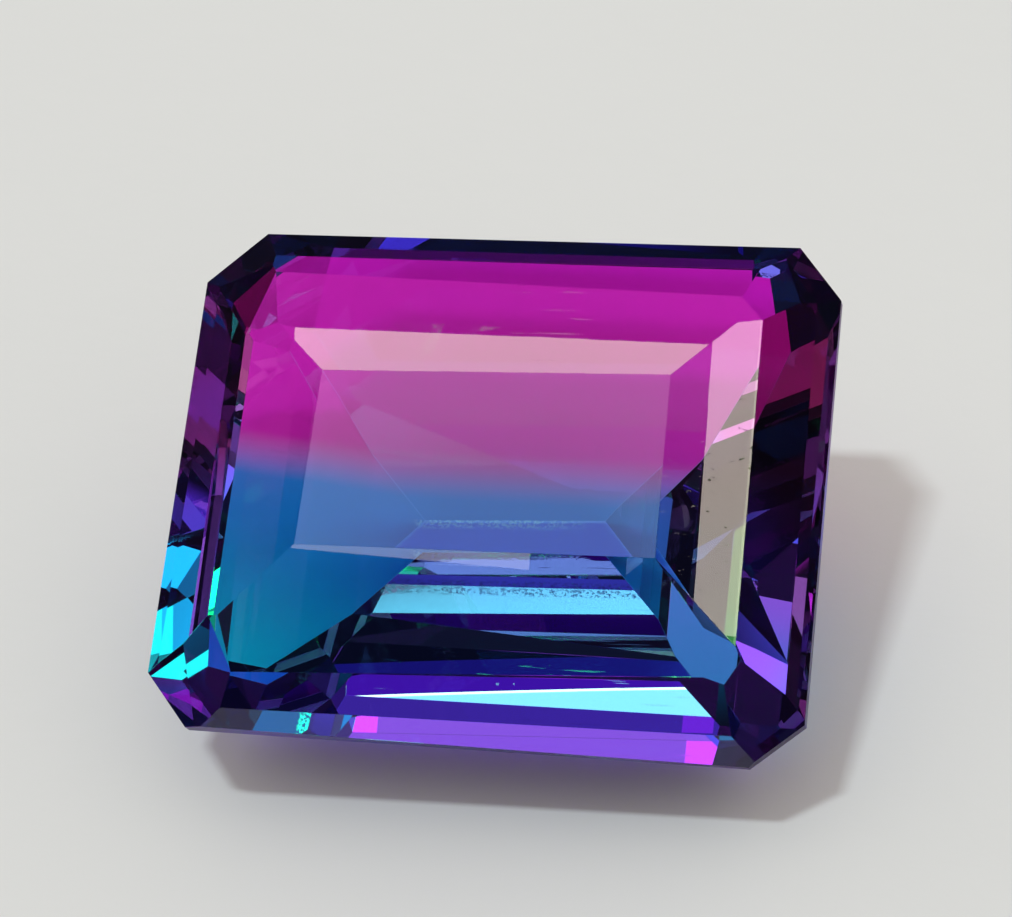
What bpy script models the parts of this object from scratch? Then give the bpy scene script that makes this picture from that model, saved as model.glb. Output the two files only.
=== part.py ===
"""Step-cut octagonal tourmaline, lying on one of its keel-side pavilion facets.

The stone is cut the way a lapidary cuts it: a rough block, then one flat facet after another.
It is cut upright, with the girdle plane at height 0 and the table on top, then turned to rest.
"""

import math

import bmesh
import bpy
from mathutils import Matrix, Vector

MM = 0.001

# Girdle outline, seen from above: overall length and width, and how far each corner is cut back.
LENGTH = 25.0 * MM
WIDTH = 19.9 * MM
GIRDLE_THICKNESS = 0.5 * MM
CORNER_CUTS = {
    # corner: (cut back along the length, cut back along the width)
    "rear_left": (2.20 * MM, 2.10 * MM),
    "rear_right": (1.70 * MM, 2.05 * MM),
    "front_right": (1.90 * MM, 1.65 * MM),
    "front_left": (1.80 * MM, 2.00 * MM),
}
CORNER_SIGNS = {
    # corner: (towards +X or -X, towards +Y or -Y)
    "rear_left": (-1, 1),
    "rear_right": (1, 1),
    "front_right": (1, -1),
    "front_left": (-1, -1),
}
# Direction in which each side faces, in degrees round the vertical axis.
SIDE_FACES = {"right": 0.0, "rear": 90.0, "left": 180.0, "front": -90.0}

TABLE_HEIGHT = 2.92 * MM
KEEL_HEIGHT = -8.96 * MM
GIRDLE_FOOT = -GIRDLE_THICKNESS

# Each side or corner lists its facets from the girdle outwards: (turn, slope, reach, height).
# A facet faces its side plus the turn and slopes that many degrees from level. It passes
# through the point that far from the axis, at that height over the girdle plane.
# Hand cutting leaves each facet a little off true.
CROWN = {
    "rear": (
        (0.0, 41.0, 9.95 * MM, 0.0),
        (0.0, 28.0, 8.57 * MM, 1.19 * MM),
        (1.4, 16.3, 3.54 * MM, TABLE_HEIGHT),
    ),
    "right": (
        (0.6, 44.0, 12.51 * MM, 0.0),
        (0.7, 36.0, 11.76 * MM, 0.72 * MM),
        (1.0, 17.2, 6.99 * MM, TABLE_HEIGHT),
    ),
    "front": (
        (1.4, 43.5, 10.03 * MM, 0.0),
        (1.8, 29.5, 9.16 * MM, 0.82 * MM),
        (0.8, 16.0, 3.32 * MM, TABLE_HEIGHT),
    ),
    "left": (
        (0.1, 38.0, 12.50 * MM, 0.0),
        (0.2, 36.0, 11.82 * MM, 0.53 * MM),
        (-1.2, 15.2, 6.39 * MM, TABLE_HEIGHT),
    ),
    "rear_left": (
        (0.0, 36.6, 14.29 * MM, 0.0),
        (17.8, 25.9, 13.03 * MM, 1.0 * MM),
        (14.5, 21.4, 10.91 * MM, 2.0 * MM),
    ),
    "rear_right": (
        (0.0, 38.3, 14.66 * MM, 0.0),
        (8.0, 29.0, 13.11 * MM, 1.0 * MM),
        (10.5, 20.0, 11.14 * MM, 2.0 * MM),
    ),
    "front_right": (
        (0.0, 33.4, 14.47 * MM, 0.0),
        (-23.1, 16.5, 12.22 * MM, 1.0 * MM),
        (-5.4, 12.7, 10.80 * MM, 2.0 * MM),
    ),
    "front_left": (
        (0.0, 33.8, 14.61 * MM, 0.0),
        (7.4, 29.1, 12.83 * MM, 1.0 * MM),
        (13.2, 24.0, 10.66 * MM, 2.0 * MM),
    ),
}
PAVILION = {
    "rear": (
        (0.0, 68.0, 9.95 * MM, GIRDLE_FOOT),
        (0.0, 31.9, 8.64 * MM, -3.75 * MM),
        (2.9, 28.3, 0.0 * MM, KEEL_HEIGHT),
    ),
    "right": (
        (0.0, 56.7, 12.50 * MM, GIRDLE_FOOT),
        (0.0, 42.7, 10.77 * MM, -3.13 * MM),
        (0.0, 29.8, 3.48 * MM, KEEL_HEIGHT),
    ),
    "front": (
        (0.0, 64.9, 9.95 * MM, GIRDLE_FOOT),
        (0.0, 37.0, 8.52 * MM, -3.56 * MM),
        (2.9, 25.7, 0.0 * MM, KEEL_HEIGHT),
    ),
    "left": (
        (0.0, 58.2, 12.50 * MM, GIRDLE_FOOT),
        (0.0, 38.7, 10.18 * MM, -4.24 * MM),
        (0.0, 30.7, 3.71 * MM, KEEL_HEIGHT),
    ),
    "rear_left": (
        (0.0, 56.5, 14.29 * MM, GIRDLE_FOOT),
        (0.0, 45.9, 12.70 * MM, -2.90 * MM),
    ),
    "rear_right": (
        (0.0, 56.5, 14.66 * MM, GIRDLE_FOOT),
        (0.0, 45.9, 13.07 * MM, -2.90 * MM),
    ),
    "front_right": (
        (0.0, 56.5, 14.47 * MM, GIRDLE_FOOT),
        (0.0, 45.9, 12.88 * MM, -2.90 * MM),
    ),
    "front_left": (
        (0.0, 56.5, 14.61 * MM, GIRDLE_FOOT),
        (0.0, 45.9, 13.02 * MM, -2.90 * MM),
    ),
}

# The facet that the stone lies on, as an entry of PAVILION.
RESTING_SIDE = "front"
RESTING_STEP = 2

MERGE_DISTANCE = 0.001 * MM


def corner_faces():
    """Direction in which each cut corner of the girdle faces, in degrees."""
    directions = {}
    for name, (sign_x, sign_y) in CORNER_SIGNS.items():
        cut_x, cut_y = CORNER_CUTS[name]
        directions[name] = math.degrees(math.atan2(sign_y * cut_x, sign_x * cut_y))
    return directions


def corner_reach(name):
    """Distance from the axis to the cut corner of the girdle, square on."""
    cut_x, cut_y = CORNER_CUTS[name]
    share_x, share_y = Vector((cut_y, cut_x)).normalized()
    return share_x * LENGTH / 2 + share_y * (WIDTH / 2 - cut_y)


def facet_plane(direction, slope, reach, height):
    """A point and the outward normal of a facet; a slope over 90 degrees faces down."""
    across = Vector((math.cos(math.radians(direction)), math.sin(math.radians(direction)), 0.0))
    lean = math.radians(slope)
    normal = across * math.sin(lean) + Vector((0.0, 0.0, math.cos(lean)))
    return across * reach + Vector((0.0, 0.0, height)), normal


def cut(stone, point, normal):
    """Grinds one flat facet: removes what lies outside the plane and closes the face."""
    geometry = stone.verts[:] + stone.edges[:] + stone.faces[:]
    result = bmesh.ops.bisect_plane(
        stone, geom=geometry, plane_co=point, plane_no=normal, dist=MERGE_DISTANCE, clear_outer=True
    )
    edges = [piece for piece in result["geom_cut"] if isinstance(piece, bmesh.types.BMEdge)]
    if edges:
        bmesh.ops.contextual_create(stone, geom=edges)


def cut_girdle(stone):
    """The eight upright faces of the girdle."""
    reaches = {"right": LENGTH / 2, "left": LENGTH / 2, "rear": WIDTH / 2, "front": WIDTH / 2}
    for side, direction in SIDE_FACES.items():
        cut(stone, *facet_plane(direction, 90.0, reaches[side], 0.0))
    for corner, direction in corner_faces().items():
        cut(stone, *facet_plane(direction, 90.0, corner_reach(corner), 0.0))


def cut_crown(stone):
    """The table, and three steps down to the girdle on every side and corner."""
    cut(stone, Vector((0.0, 0.0, TABLE_HEIGHT)), Vector((0.0, 0.0, 1.0)))
    faces = SIDE_FACES | corner_faces()
    for name, facets in CROWN.items():
        for turn, slope, reach, height in facets:
            cut(stone, *facet_plane(faces[name] + turn, slope, reach, height))


def cut_pavilion(stone):
    """The steps under the girdle, down to the keel line."""
    faces = SIDE_FACES | corner_faces()
    for name, facets in PAVILION.items():
        for turn, slope, reach, height in facets:
            cut(stone, *facet_plane(faces[name] + turn, 180.0 - slope, reach, height))


def resting_turn():
    """The rotation that lays the resting facet flat on the ground, with the length along X."""
    turn, slope, reach, height = PAVILION[RESTING_SIDE][RESTING_STEP]
    direction = SIDE_FACES[RESTING_SIDE] + turn
    normal = facet_plane(direction, 180.0 - slope, reach, height)[1]
    upward = -normal
    along = (Vector((1.0, 0.0, 0.0)) - upward * upward.x).normalized()
    return Matrix((along, upward.cross(along), upward)).to_4x4()


def centre_on_ground(stone):
    """Moves the stone so that the origin is under the middle of its box, on the ground."""
    corners = [vert.co for vert in stone.verts]
    low = Vector(min(corner[axis] for corner in corners) for axis in range(3))
    high = Vector(max(corner[axis] for corner in corners) for axis in range(3))
    middle = (low + high) / 2
    bmesh.ops.translate(stone, vec=(-middle.x, -middle.y, -low.z), verts=stone.verts)


def stone_material():
    """Clear crystal, shown here in the violet that its two colours make together."""
    material = bpy.data.materials.new("stone")
    material.use_nodes = True
    shader = material.node_tree.nodes["Principled BSDF"]
    shader.inputs["Base Color"].default_value = (0.42, 0.12, 0.62, 1.0)
    shader.inputs["Roughness"].default_value = 0.02
    shader.inputs["Metallic"].default_value = 0.0
    shader.inputs["Transmission Weight"].default_value = 1.0
    shader.inputs["IOR"].default_value = 1.54
    return material


def make_stone(collection):
    stone = bmesh.new()
    bmesh.ops.create_cube(stone, size=2 * LENGTH)
    cut_girdle(stone)
    cut_crown(stone)
    cut_pavilion(stone)
    bmesh.ops.remove_doubles(stone, verts=stone.verts, dist=MERGE_DISTANCE)
    bmesh.ops.rotate(stone, cent=(0.0, 0.0, 0.0), matrix=resting_turn(), verts=stone.verts)
    centre_on_ground(stone)
    bmesh.ops.recalc_face_normals(stone, faces=stone.faces)
    mesh = bpy.data.meshes.new("stone")
    stone.to_mesh(mesh)
    stone.free()
    mesh.materials.append(stone_material())
    collection.objects.link(bpy.data.objects.new("stone", mesh))


def main():
    for item in list(bpy.data.objects):
        bpy.data.objects.remove(item)
    collection = bpy.data.collections.new("tourmaline")
    bpy.context.scene.collection.children.link(collection)
    make_stone(collection)


main()
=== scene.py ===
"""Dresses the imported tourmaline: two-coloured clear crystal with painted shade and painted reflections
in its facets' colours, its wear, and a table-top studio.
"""

import math

import bpy
from mathutils import Euler, Matrix, Vector

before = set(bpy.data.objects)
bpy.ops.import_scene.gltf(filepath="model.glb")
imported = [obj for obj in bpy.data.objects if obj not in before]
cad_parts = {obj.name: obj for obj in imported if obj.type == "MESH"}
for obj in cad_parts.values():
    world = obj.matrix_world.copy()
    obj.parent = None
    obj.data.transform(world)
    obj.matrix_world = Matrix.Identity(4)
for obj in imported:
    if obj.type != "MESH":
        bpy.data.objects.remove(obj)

MM = 0.001

# The stone's own directions as it rests: to its right, from its front to its rear girdle, and up
# through the table. Then the centre of its girdle.
SIDEWARD = Vector((0.99976, 0.0, -0.02194))
REARWARD = Vector((0.0095, 0.9013, 0.4331))
TABLEWARD = Vector((0.0198, -0.4332, 0.9011))
GIRDLE_CENTRE = Vector((0.0, -0.15 * MM, 8.07 * MM))

INDEX_OF_REFRACTION = 1.54

# The crystal's two colours meet over a narrow width near its middle, below and above the girdle.
# The first number is how far to the rear the change starts, the second where it ends.
COLOURS_MEET_BELOW = (0.6 * MM, 2.5 * MM)
COLOURS_MEET_ABOVE = (-2.2 * MM, 1.0 * MM)
# The front colour changes on its way to the middle, between these places.
FRONT_CHANGES = (-8.0 * MM, -0.5 * MM)

# Light kept by each ring of facets where it passes through: on the facets that face the front;
# on the others at the front edge, just in front of where the colours meet, and at the rear edge;
# and at the rear edge of the facets that face left or right. A ring starts at the share of its
# facets' normals that points to the table. Over the crystal's own magenta and blue, these
# colours hold painted shade and painted reflections: each ring, side and edge is made darker,
# lighter or tinted, for the light and dark that its facets' inner reflections show.
RESTING_COLOUR = (0.08, 0.30, 1.0)
RING_TINTS_AND_PAINTED_LIGHT = {
    # ring: (starts at, front faces, front edge, middle, rear edge, rear edge of the sides)
    "resting_facet": (
        -1.0, RESTING_COLOUR, RESTING_COLOUR, RESTING_COLOUR, RESTING_COLOUR, RESTING_COLOUR,
    ),
    "middle_and_keel": (
        -0.89, (0.10, 0.04, 0.60), (0.0001, 0.50, 0.90), (0.001, 0.09, 0.50), (0.27, 0.0006, 0.17),
        (0.27, 0.0006, 0.17),
    ),
    "outer_below": (
        -0.6, (0.001, 0.0, 0.01), (0.01, 0.003, 0.06), (0.01, 0.003, 0.06), (0.04, 0.003, 0.06),
        (0.04, 0.003, 0.06),
    ),
    "girdle": (
        -0.2, (0.14, 0.07, 0.55), (0.25, 0.30, 0.95), (0.30, 0.20, 0.80), (0.50, 0.25, 0.70),
        (0.50, 0.10, 0.40),
    ),
    "outer_above": (
        0.3, (0.10, 0.07, 1.0), (0.08, 0.04, 0.25), (0.08, 0.03, 0.22), (0.03, 0.01, 0.22),
        (0.12, 0.01, 0.05),
    ),
    "middle_above": (
        0.78, (0.08, 0.06, 0.80), (0.06, 0.06, 0.85), (0.12, 0.05, 0.85), (0.65, 0.10, 0.95),
        (0.12, 0.004, 0.06),
    ),
    "inner_above": (
        0.905, (0.03, 0.55, 0.55), (0.03, 0.55, 0.55), (0.12, 0.55, 0.85), (0.75, 0.30, 0.85),
        (0.75, 0.30, 0.85),
    ),
    "table": (
        0.985, (0.10, 0.65, 0.95), (0.10, 0.65, 0.95), (0.12, 0.60, 0.95), (0.75, 0.30, 0.85),
        (0.75, 0.30, 0.85),
    ),
}
# Share of a facet's normal that points to a side, past which it counts as facing that side.
FACING = 0.35

# Share of a facet's normal that points to the table: it is under the first for the keel facets, and
# between plus and minus the second for the upright faces of the girdle.
KEEL_FACETS = -0.85
UPRIGHT = 0.2

# Frosted wear: a strip along the keel, which runs a little askew, and a strip low on the outer
# facets at the rear. Each gives where the frost begins, is full, starts to thin out and is gone.
KEEL_RUN = 0.0507
KEEL_WEAR = (-0.42 * MM, -0.20 * MM, -0.02 * MM, 0.03 * MM)
KEEL_WEAR_RUN = (-4.2 * MM, -3.4 * MM, 0.6 * MM, 3.4 * MM)
LOW_STEP_WEAR = (3.80 * MM, 3.62 * MM, 3.42 * MM, 3.15 * MM)
# Colour of the frosted strips: real wear, made lighter than the crystal as painted glints.
WORN_AND_GLINT_COLOUR = (0.30, 0.85, 1.0)
GRAIN_SCALE = 9000.0
FROSTED_GRAINS = (0.42, 0.60)
FROST_ROUGHNESS = 0.16
GIRDLE_ROUGHNESS = 0.42
# Relief of the keel's frost and of the girdle, which is ground and not polished.
GROUND_HEIGHT = 0.01 * MM
GROUND_STRENGTH = 0.35

# Fine scratches on the crown: (noise scale, stretch, turn in degrees, noise over which one shows).
# They keep to a few patches, and specks are scattered between them.
SCRATCHES = (
    (9000.0, (0.02, 1.0, 1.0), 22.0, (0.70, 0.76)),
    (7000.0, (0.05, 1.0, 1.0), -47.0, (0.71, 0.77)),
)
SCRATCHED_PATCH_SCALE = 160.0
SCRATCHED_PATCHES = (0.52, 0.66)
SPECK_SCALE = 5600.0
SPECKS = (0.878, 0.890)
MARK_ROUGHNESS = 0.12

# Edges are rounded off by this width wherever two facets meet at more than the angle in degrees.
EDGE_WEAR = 0.025 * MM
EDGE_SEGMENTS = 2
EDGE_ANGLE = 4.0
WELD_DISTANCE = 0.001 * MM

# The stone touches the paper only at its fibres' tips.
PAPER_GAP = 0.02 * MM
PAPER_SIZE = 400.0 * MM
PAPER_COLOUR = (0.80, 0.80, 0.79)
PAPER_ROUGHNESS = 0.9
FIBRE_SCALE = 420.0
FIBRE_DETAIL = 6.0
FIBRE_HEIGHT = 0.15 * MM
FIBRE_STRENGTH = 0.25

# Place in metres, turn in degrees, lens and sensor in millimetres.
CAMERA_PLACE = Vector((27.74, -69.88, 84.44)) * MM
CAMERA_TURN = (44.176, 9.547, 11.427)
CAMERA_LENS = 101.4
CAMERA_SENSOR = 36.0
CAMERA_NEAREST = 1.0 * MM

DARK_ROOM = (0.022, 0.022, 0.030)
# Even light on the paper, weaker from the front, where somebody leans over the table. The change
# is given as the share of a direction that points to the brighter side.
PAPER_LIGHT_FRONT = (0.06, 0.055, 0.075)
PAPER_LIGHT_REAR = (0.83, 0.785, 0.735)
PAPER_LIGHT_CHANGE = (-0.95, 0.05)
PAPER_LIGHT_FROM = Vector((0.42, 0.907, 0.0))
# How many times brighter the even light is where the paper is seen through the stone, which
# stands in for the light that a cut stone gathers there.
GATHERED = 2.2
# Beyond the edge of the paper.
BACKDROP = (0.66, 0.65, 0.62)

LAMP_DISTANCE = 4.0
KEY_LIGHT = (104.0, 120.0, 125.0)
PINK_LIGHT = (2.3, 0.05, 0.95)
# A lamp that shows only through the crystal.
IN_CRYSTAL = {"outside": False, "inside": True, "on_paper": False}
# Glows of the room that show through the crystal, placed in degrees:
# (azimuth, elevation, full radius, outer radius, light).
ROOM_GLOWS = (
    (-150.0, 84.0, 2.0, 5.0, (0.20, 0.40, 0.70)),
    (-127.0, 86.2, 0.3, 1.1, (0.90, 2.40, 0.90)),
    (-160.0, 88.0, 0.8, 2.2, (1.60, 0.80, 1.20)),
    (-171.0, 78.5, 0.8, 2.0, (2.60, 0.30, 2.00)),
    (178.0, 68.2, 0.4, 1.5, (0.0, 3.50, 0.60)),
    (-110.0, 33.5, 3.0, 6.0, (0.10, 0.11, 0.42)),
    (-78.0, 78.5, 1.5, 3.0, (0.30, 0.50, 0.06)),
    (52.0, 70.0, 7.0, 13.0, (0.05, 9.0, 1.60)),
    (-17.0, 61.0, 1.0, 4.0, (0.05, 0.18, 0.42)),
    (-107.0, 1.0, 4.0, 9.0, (1.15, 2.80, 2.30)),
    (11.0, 28.0, 3.0, 6.0, (0.10, 5.0, 1.60)),
    (-17.5, 20.0, 3.0, 6.0, (0.20, 2.0, 1.20)),
    (-121.0, 78.3, 0.6, 1.6, (3.0, 0.30, 2.20)),
    (-72.0, 38.0, 4.0, 7.0, (0.90, 1.10, 1.40)),
    (-133.0, 24.0, 2.0, 4.0, (1.20, 0.70, 1.20)),
)


def new_nodes(name):
    material = bpy.data.materials.new(name)
    material.use_nodes = True
    return material, material.node_tree.nodes, material.node_tree.links


def maths(tree, operation, *values):
    """A Math node whose inputs are sockets or numbers; returns its result."""
    node = tree.nodes.new("ShaderNodeMath")
    node.operation = operation
    for socket, value in zip(node.inputs, values):
        if isinstance(value, bpy.types.NodeSocket):
            tree.links.new(value, socket)
        else:
            socket.default_value = value
    return node.outputs["Value"]


def along(tree, vector, direction):
    """How far a vector reaches in a direction."""
    node = tree.nodes.new("ShaderNodeVectorMath")
    node.operation = "DOT_PRODUCT"
    tree.links.new(vector, node.inputs[0])
    node.inputs[1].default_value = direction
    return node.outputs["Value"]


def smooth_share(tree, value, start, end):
    """0 before the start, 1 after the end, and a soft change between them."""
    node = tree.nodes.new("ShaderNodeMapRange")
    node.interpolation_type = "SMOOTHSTEP"
    node.inputs["From Min"].default_value = start
    node.inputs["From Max"].default_value = end
    tree.links.new(value, node.inputs["Value"])
    return node.outputs["Result"]


def mix_colours(tree, share, first, second):
    node = tree.nodes.new("ShaderNodeMix")
    node.data_type = "RGBA"
    tree.links.new(share, node.inputs["Factor"])
    tree.links.new(first, node.inputs["A"])
    tree.links.new(second, node.inputs["B"])
    return node.outputs["Result"]


def plain_colour(tree, colour):
    node = tree.nodes.new("ShaderNodeRGB")
    node.outputs["Color"].default_value = (*colour, 1.0)
    return node.outputs["Color"]


def raise_surface(tree, shader, height, strength, distance):
    """Bumps a shader's surface by a height map."""
    bump = tree.nodes.new("ShaderNodeBump")
    bump.inputs["Strength"].default_value = strength
    bump.inputs["Distance"].default_value = distance
    tree.links.new(height, bump.inputs["Height"])
    tree.links.new(bump.outputs["Normal"], shader.inputs["Normal"])


def ring_colours(tree, tilt, column):
    """The colour of each ring of facets, picked by how much a facet faces the table; besides the
    crystal's tint it holds painted shade and painted reflections.
    """
    node = tree.nodes.new("ShaderNodeValToRGB")
    node.color_ramp.interpolation = "CONSTANT"
    elements = node.color_ramp.elements
    elements.remove(elements[1])
    for ring, values in enumerate(RING_TINTS_AND_PAINTED_LIGHT.values()):
        place = (values[0] + 1.0) / 2.0
        element = elements[0] if ring == 0 else elements.new(place)
        element.position = place
        element.color = (*values[column], 1.0)
    tree.links.new(maths(tree, "MULTIPLY_ADD", tilt, 0.5, 0.5), node.inputs["Fac"])
    return node.outputs["Color"]


def noise(tree, vector, scale, detail, stretch=(1.0, 1.0, 1.0), turn=0.0):
    """Smooth noise; a stretch under 1 draws it out along that axis, after the turn in degrees."""
    mapping = tree.nodes.new("ShaderNodeMapping")
    mapping.inputs["Rotation"].default_value = (0.0, 0.0, math.radians(turn))
    mapping.inputs["Scale"].default_value = stretch
    tree.links.new(vector, mapping.inputs["Vector"])
    node = tree.nodes.new("ShaderNodeTexNoise")
    node.inputs["Scale"].default_value = scale
    node.inputs["Detail"].default_value = detail
    tree.links.new(mapping.outputs["Vector"], node.inputs["Vector"])
    return node.outputs["Fac"]


def band(tree, value, outer_start, full_start, full_end, outer_end):
    """1 between the two full values, 0 outside the outer ones."""
    rise = smooth_share(tree, value, outer_start, full_start)
    fall = smooth_share(tree, value, outer_end, full_end)
    return maths(tree, "MULTIPLY", rise, fall)


def wear_group():
    """Where the stone is frosted or scratched, from the place on it and the way a facet faces."""
    group = bpy.data.node_groups.new("wear", "ShaderNodeTree")
    for name, kind in (("Place", "Vector"), ("Tilt", "Float"), ("Facing front", "Float")):
        group.interface.new_socket(name, in_out="INPUT", socket_type="NodeSocket" + kind)
    for name in ("Frost", "Roughness", "Height"):
        group.interface.new_socket(name, in_out="OUTPUT", socket_type="NodeSocketFloat")
    given, results = group.nodes.new("NodeGroupInput"), group.nodes.new("NodeGroupOutput")
    place, tilt, facing = given.outputs["Place"], given.outputs["Tilt"], given.outputs["Facing front"]
    rearward, sideward = along(group, place, REARWARD), along(group, place, SIDEWARD)
    depth = maths(group, "MULTIPLY", along(group, place, TABLEWARD), -1.0)

    grains = noise(group, place, GRAIN_SCALE, 1.0)
    sparkle = smooth_share(group, grains, *FROSTED_GRAINS)
    keel = maths(group, "MULTIPLY_ADD", sideward, -KEEL_RUN, rearward)
    along_keel = band(group, sideward, *KEEL_WEAR_RUN)
    on_keel = maths(group, "MULTIPLY", band(group, keel, *KEEL_WEAR), along_keel)
    on_keel = maths(group, "MULTIPLY", on_keel, maths(group, "LESS_THAN", tilt, KEEL_FACETS))
    outer_start, outer_end = RING_TINTS_AND_PAINTED_LIGHT["outer_below"][0], RING_TINTS_AND_PAINTED_LIGHT["girdle"][0]
    low_step = band(group, depth, *LOW_STEP_WEAR)
    low_step = maths(group, "MULTIPLY", low_step, maths(group, "LESS_THAN", facing, -FACING))
    low_step = maths(group, "MULTIPLY", low_step, maths(group, "LESS_THAN", tilt, outer_end))
    low_step = maths(group, "MULTIPLY", low_step, maths(group, "GREATER_THAN", tilt, outer_start))
    # Where the frost is, the crystal also takes a lighter colour as painted glints.
    frost_and_glint = maths(group, "MULTIPLY", maths(group, "MAXIMUM", on_keel, low_step), sparkle)

    scratches = [
        smooth_share(group, noise(group, place, scale, 1.0, stretch, turn), *shows)
        for scale, stretch, turn, shows in SCRATCHES
    ]
    marks = maths(group, "MAXIMUM", *scratches)
    patches = smooth_share(group, noise(group, place, SCRATCHED_PATCH_SCALE, 0.0), *SCRATCHED_PATCHES)
    marks = maths(group, "MULTIPLY", marks, patches)
    specks = smooth_share(group, noise(group, place, SPECK_SCALE, 0.0), *SPECKS)
    on_crown = maths(group, "GREATER_THAN", tilt, UPRIGHT)
    marks = maths(group, "MULTIPLY", maths(group, "MAXIMUM", marks, specks), on_crown)

    girdle = maths(group, "LESS_THAN", maths(group, "ABSOLUTE", tilt), UPRIGHT)
    ground = maths(group, "MULTIPLY", girdle, GIRDLE_ROUGHNESS)
    rough = maths(group, "MULTIPLY_ADD", frost_and_glint, FROST_ROUGHNESS, ground)
    rough = maths(group, "MULTIPLY_ADD", marks, MARK_ROUGHNESS, rough)
    group.links.new(frost_and_glint, results.inputs["Frost"])
    group.links.new(rough, results.inputs["Roughness"])
    height = maths(group, "MULTIPLY", grains, maths(group, "MAXIMUM", girdle, on_keel))
    group.links.new(height, results.inputs["Height"])
    return group


def crystal():
    """Clear crystal, magenta at the rear and blue to teal at the front, with its wear; its facets'
    colours also hold painted shade and painted reflections, picked by the way each facet faces.
    """
    material, nodes, links = new_nodes("bicolour_crystal_and_painted_light")
    tree = material.node_tree
    shader = nodes["Principled BSDF"]
    shader.inputs["IOR"].default_value = INDEX_OF_REFRACTION
    shader.inputs["Transmission Weight"].default_value = 1.0
    place = nodes.new("ShaderNodeTexCoord")
    offset = nodes.new("ShaderNodeVectorMath")
    offset.operation = "SUBTRACT"
    offset.inputs[1].default_value = GIRDLE_CENTRE
    links.new(place.outputs["Object"], offset.inputs[0])
    rearward = along(tree, offset.outputs["Vector"], REARWARD)
    # Seen from inside the crystal, a facet's normal is turned over, so it is turned back.
    from_inside = nodes.new("ShaderNodeNewGeometry").outputs["Backfacing"]
    outward = maths(tree, "MULTIPLY_ADD", from_inside, -2.0, 1.0)
    tilt = maths(tree, "MULTIPLY", along(tree, place.outputs["Normal"], TABLEWARD), outward)
    below = maths(tree, "LESS_THAN", tilt, 0.0)

    # These ring colours are partly painted shade and painted reflections, picked by a facet's tilt and
    # the side it faces.
    front_faces, front, middle, rear, sides = (ring_colours(tree, tilt, column) for column in range(1, 6))
    sideward = maths(tree, "ABSOLUTE", along(tree, place.outputs["Normal"], SIDEWARD))
    rear = mix_colours(tree, maths(tree, "GREATER_THAN", sideward, FACING), rear, sides)
    front_half = mix_colours(tree, smooth_share(tree, rearward, *FRONT_CHANGES), front, middle)
    meet = nodes.new("ShaderNodeMix")
    links.new(below, meet.inputs["Factor"])
    links.new(smooth_share(tree, rearward, *COLOURS_MEET_ABOVE), meet.inputs["A"])
    links.new(smooth_share(tree, rearward, *COLOURS_MEET_BELOW), meet.inputs["B"])
    colour = mix_colours(tree, meet.outputs["Result"], front_half, rear)
    facing = maths(tree, "MULTIPLY", along(tree, place.outputs["Normal"], -REARWARD), outward)
    # Facets that face the front take their own colours, which are painted light.
    colour = mix_colours(tree, maths(tree, "GREATER_THAN", facing, FACING), colour, front_faces)

    wear = nodes.new("ShaderNodeGroup")
    wear.node_tree = wear_group()
    links.new(offset.outputs["Vector"], wear.inputs["Place"])
    links.new(tilt, wear.inputs["Tilt"])
    links.new(facing, wear.inputs["Facing front"])
    # The frosted strips take the lighter worn colour, which paints glints over the real wear.
    colour = mix_colours(tree, wear.outputs["Frost"], colour, plain_colour(tree, WORN_AND_GLINT_COLOUR))
    links.new(colour, shader.inputs["Base Color"])
    links.new(wear.outputs["Roughness"], shader.inputs["Roughness"])
    raise_surface(tree, shader, wear.outputs["Height"], GROUND_STRENGTH, GROUND_HEIGHT)
    return material


def dress_stone():
    """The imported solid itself, with its edges slightly rounded."""
    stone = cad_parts["stone"]
    stone.data.materials.clear()
    stone.data.materials.append(crystal())
    for face in stone.data.polygons:
        face.use_smooth = False
    weld = stone.modifiers.new("weld", "WELD")
    weld.merge_threshold = WELD_DISTANCE
    worn = stone.modifiers.new("worn_edges", "BEVEL")
    worn.width = EDGE_WEAR
    worn.segments = EDGE_SEGMENTS
    worn.limit_method = "ANGLE"
    worn.angle_limit = math.radians(EDGE_ANGLE)


def paper():
    bpy.ops.mesh.primitive_plane_add(size=PAPER_SIZE, location=(0.0, 0.0, -PAPER_GAP))
    sheet = bpy.context.object
    sheet.name = "paper"
    material, nodes, _ = new_nodes("paper")
    tree = material.node_tree
    shader = nodes["Principled BSDF"]
    shader.inputs["Base Color"].default_value = (*PAPER_COLOUR, 1.0)
    shader.inputs["Roughness"].default_value = PAPER_ROUGHNESS
    place = nodes.new("ShaderNodeTexCoord").outputs["Object"]
    fibres = noise(tree, place, FIBRE_SCALE, FIBRE_DETAIL)
    raise_surface(tree, shader, fibres, FIBRE_STRENGTH, FIBRE_HEIGHT)
    sheet.data.materials.append(material)


def towards(azimuth, elevation):
    """Unit vector to a direction: azimuth anticlockwise from +X, elevation above the paper."""
    flat = math.cos(math.radians(elevation))
    return Vector((flat * math.cos(math.radians(azimuth)), flat * math.sin(math.radians(azimuth)),
                   math.sin(math.radians(elevation))))


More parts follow.
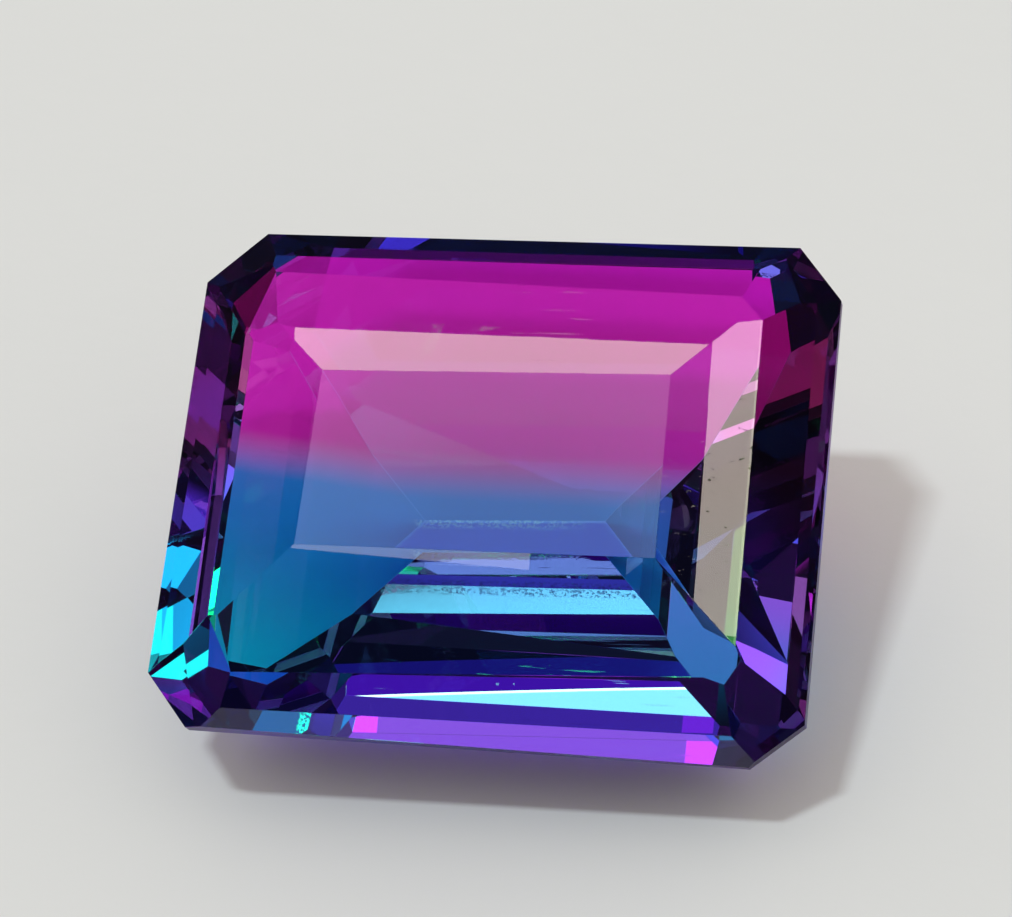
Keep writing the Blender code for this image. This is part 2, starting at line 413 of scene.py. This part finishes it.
def softbox(name, edge, depth, light, outside=True, inside=False, on_paper=True, nearer=0.0):
    """A flat lamp facing the stone, given by one long edge and its depth in degrees.

    The edge is two directions, and the lamp reaches up from it, or down if the depth is under 0.
    Light is its brightness as red, green and blue. Outside is whether the facets mirror it,
    inside whether it shows through the crystal, and on_paper whether it lights the paper. Nearer
    is how many metres closer it stands than the others, so that it hides what is behind it.
    """
    start, end = (towards(*corner) for corner in edge)
    middle = (start + end).normalized()
    across = (end - start) - middle * middle.dot(end - start)
    upward = middle.cross(across.normalized())
    if upward.z < 0:
        upward = -upward
    centre = (middle + upward * math.tan(math.radians(depth / 2))).normalized()
    upward = (upward - centre * centre.dot(upward)).normalized()
    distance = LAMP_DISTANCE - nearer
    lamp = bpy.data.lights.new(name, "AREA")
    lamp.shape = "RECTANGLE"
    lamp.size = 2 * distance * math.tan(start.angle(end) / 2)
    lamp.size_y = 2 * distance * math.tan(math.radians(abs(depth) / 2))
    strength = max(light)
    lamp.energy = strength * math.pi * lamp.size * lamp.size_y
    lamp.color = [part / strength for part in light]
    holder = bpy.data.objects.new(name, lamp)
    turn = Matrix((upward.cross(centre), upward, centre)).transposed()
    holder.location = GIRDLE_CENTRE + centre * distance
    holder.rotation_euler = turn.to_euler()
    holder.visible_glossy = outside
    holder.visible_transmission = inside
    holder.visible_diffuse = on_paper
    bpy.context.scene.collection.objects.link(holder)


def lamps():
    """The key lamp casts the shadow. Each edge is two places as azimuth and elevation in degrees."""
    softbox("key", ((-163.22, 73.08), (-151.42, 79.88)), 3.5, KEY_LIGHT, outside=False)
    key_edge = ((-166.59, 72.04), (-150.22, 80.72))
    softbox("key_in_crystal", key_edge, 0.9, (1.25, 13.0, 1.5), **IN_CRYSTAL, nearer=0.1)
    softbox("key_rim", key_edge, 0.05, (4.0, 16.0, 0.9), **IN_CRYSTAL, nearer=0.2)
    softbox("cove", key_edge, -0.45, (0.19, 0.05, 0.44), **IN_CRYSTAL, nearer=0.1)
    ceiling_edge = ((-163.96, 70.55), (-142.52, 81.30))
    softbox("ceiling", ceiling_edge, -7.5, (1.35, 1.30, 1.35), on_paper=False)
    softbox("cornice", ceiling_edge, -1.2, (0.80, 0.42, 0.85), **IN_CRYSTAL, nearer=0.05)
    beam_edge = ((-158.43, 69.22), (-132.60, 79.79))
    softbox("beam", beam_edge, -2.3, (0.25, 0.70, 0.95), **IN_CRYSTAL, nearer=0.1)
    lintel_edge = ((-149.3, 68.1), (-122.3, 77.0))
    softbox("lintel", lintel_edge, -2.6, (0.85, 0.70, 0.80), **IN_CRYSTAL, nearer=0.05)
    left_edge = ((-160.85, 73.17), (-160.24, 73.68))
    softbox("pink_left", left_edge, -1.3, PINK_LIGHT, **IN_CRYSTAL, nearer=0.2)
    right_edge = ((-129.23, 75.34), (-127.24, 75.75))
    softbox("pink_right", right_edge, -1.0, PINK_LIGHT, **IN_CRYSTAL, nearer=0.2)
    softbox("rear_lamp", ((125.6, 58.4), (108.0, 62.3)), 4.0, (6.9, 6.1, 4.6), on_paper=False)
    softbox("right_lamp", ((-7.0, 66.1), (-21.5, 63.25)), -1.0, (6.9, 6.0, 5.3), on_paper=False)
    softbox("right_shade", ((-7.0, 65.1), (-21.5, 62.25)), -0.4, (2.4, 2.8, 1.6), on_paper=False)
    softbox("right_rim", ((-7.0, 64.7), (-21.5, 61.85)), -0.45, (8.0, 11.0, 3.4), on_paper=False)
    softbox("front_lamp", ((-115.0, 44.8), (-107.2, 46.0)), 2.0, (3.2, 3.0, 3.2), on_paper=False)


def glow_group():
    """A round glow of the room: bright within its full radius, gone beyond its outer one."""
    group = bpy.data.node_groups.new("glow", "ShaderNodeTree")
    for name, kind in (("Direction", "Vector"), ("Centre", "Vector"), ("Outer", "Float"),
                       ("Full", "Float"), ("Light", "Color"), ("Room", "Color")):
        group.interface.new_socket(name, in_out="INPUT", socket_type="NodeSocket" + kind)
    group.interface.new_socket("Room", in_out="OUTPUT", socket_type="NodeSocketColor")
    inputs, outputs = group.nodes.new("NodeGroupInput"), group.nodes.new("NodeGroupOutput")
    facing = group.nodes.new("ShaderNodeVectorMath")
    facing.operation = "DOT_PRODUCT"
    group.links.new(inputs.outputs["Direction"], facing.inputs[0])
    group.links.new(inputs.outputs["Centre"], facing.inputs[1])
    share = group.nodes.new("ShaderNodeMapRange")
    share.interpolation_type = "SMOOTHSTEP"
    group.links.new(facing.outputs["Value"], share.inputs["Value"])
    group.links.new(inputs.outputs["Outer"], share.inputs["From Min"])
    group.links.new(inputs.outputs["Full"], share.inputs["From Max"])
    add = group.nodes.new("ShaderNodeMix")
    add.data_type, add.blend_type, add.clamp_result = "RGBA", "ADD", False
    group.links.new(share.outputs["Result"], add.inputs["Factor"])
    group.links.new(inputs.outputs["Room"], add.inputs["A"])
    group.links.new(inputs.outputs["Light"], add.inputs["B"])
    group.links.new(add.outputs["Result"], outputs.inputs["Room"])
    return group


def room():
    """A dark room with soft glows inside the crystal, and even light for the paper."""
    world = bpy.data.worlds.new("room")
    bpy.context.scene.world = world
    world.use_nodes = True
    world.cycles.sampling_method = "NONE"
    tree = world.node_tree
    direction = tree.nodes.new("ShaderNodeTexCoord").outputs["Generated"]
    group = glow_group()
    dark = plain_colour(tree, DARK_ROOM)
    seen = dark
    for azimuth, elevation, full, outer, light in ROOM_GLOWS:
        glow = tree.nodes.new("ShaderNodeGroup")
        glow.node_tree = group
        tree.links.new(direction, glow.inputs["Direction"])
        tree.links.new(seen, glow.inputs["Room"])
        glow.inputs["Centre"].default_value = towards(azimuth, elevation)
        glow.inputs["Outer"].default_value = math.cos(math.radians(outer))
        glow.inputs["Full"].default_value = math.cos(math.radians(full))
        glow.inputs["Light"].default_value = (*light, 1.0)
        seen = glow.outputs["Room"]
    path = tree.nodes.new("ShaderNodeLightPath")
    to_rear = smooth_share(tree, along(tree, direction, PAPER_LIGHT_FROM), *PAPER_LIGHT_CHANGE)
    lit_front, lit_rear = plain_colour(tree, PAPER_LIGHT_FRONT), plain_colour(tree, PAPER_LIGHT_REAR)
    even = mix_colours(tree, to_rear, lit_front, lit_rear)
    through = maths(tree, "GREATER_THAN", path.outputs["Transmission Depth"], 0.5)
    gathered = tree.nodes.new("ShaderNodeVectorMath")
    gathered.operation = "SCALE"
    tree.links.new(even, gathered.inputs[0])
    tree.links.new(maths(tree, "MULTIPLY_ADD", through, GATHERED - 1.0, 1.0), gathered.inputs["Scale"])
    off_paper = maths(tree, "GREATER_THAN", path.outputs["Diffuse Depth"], 0.5)
    seen = mix_colours(tree, path.outputs["Is Transmission Ray"], dark, seen)
    seen = mix_colours(tree, off_paper, seen, gathered.outputs["Vector"])
    seen = mix_colours(tree, path.outputs["Is Camera Ray"], seen, plain_colour(tree, BACKDROP))
    tree.links.new(seen, tree.nodes["Background"].inputs["Color"])


def camera():
    lens = bpy.data.cameras.new("camera")
    lens.lens = CAMERA_LENS
    lens.sensor_width = CAMERA_SENSOR
    lens.clip_start = CAMERA_NEAREST
    holder = bpy.data.objects.new("camera", lens)
    holder.location = CAMERA_PLACE
    holder.rotation_euler = Euler([math.radians(turn) for turn in CAMERA_TURN], "XYZ")
    bpy.context.scene.collection.objects.link(holder)
    bpy.context.scene.camera = holder


def picture_settings():
    """Enough bounces for light that turns round inside the crystal."""
    scene = bpy.context.scene
    scene.view_settings.view_transform = "Standard"
    scene.cycles.max_bounces = 14
    scene.cycles.glossy_bounces = 12
    scene.cycles.transmission_bounces = 12


def main():
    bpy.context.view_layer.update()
    camera()
    dress_stone()
    paper()
    lamps()
    room()
    picture_settings()


main()
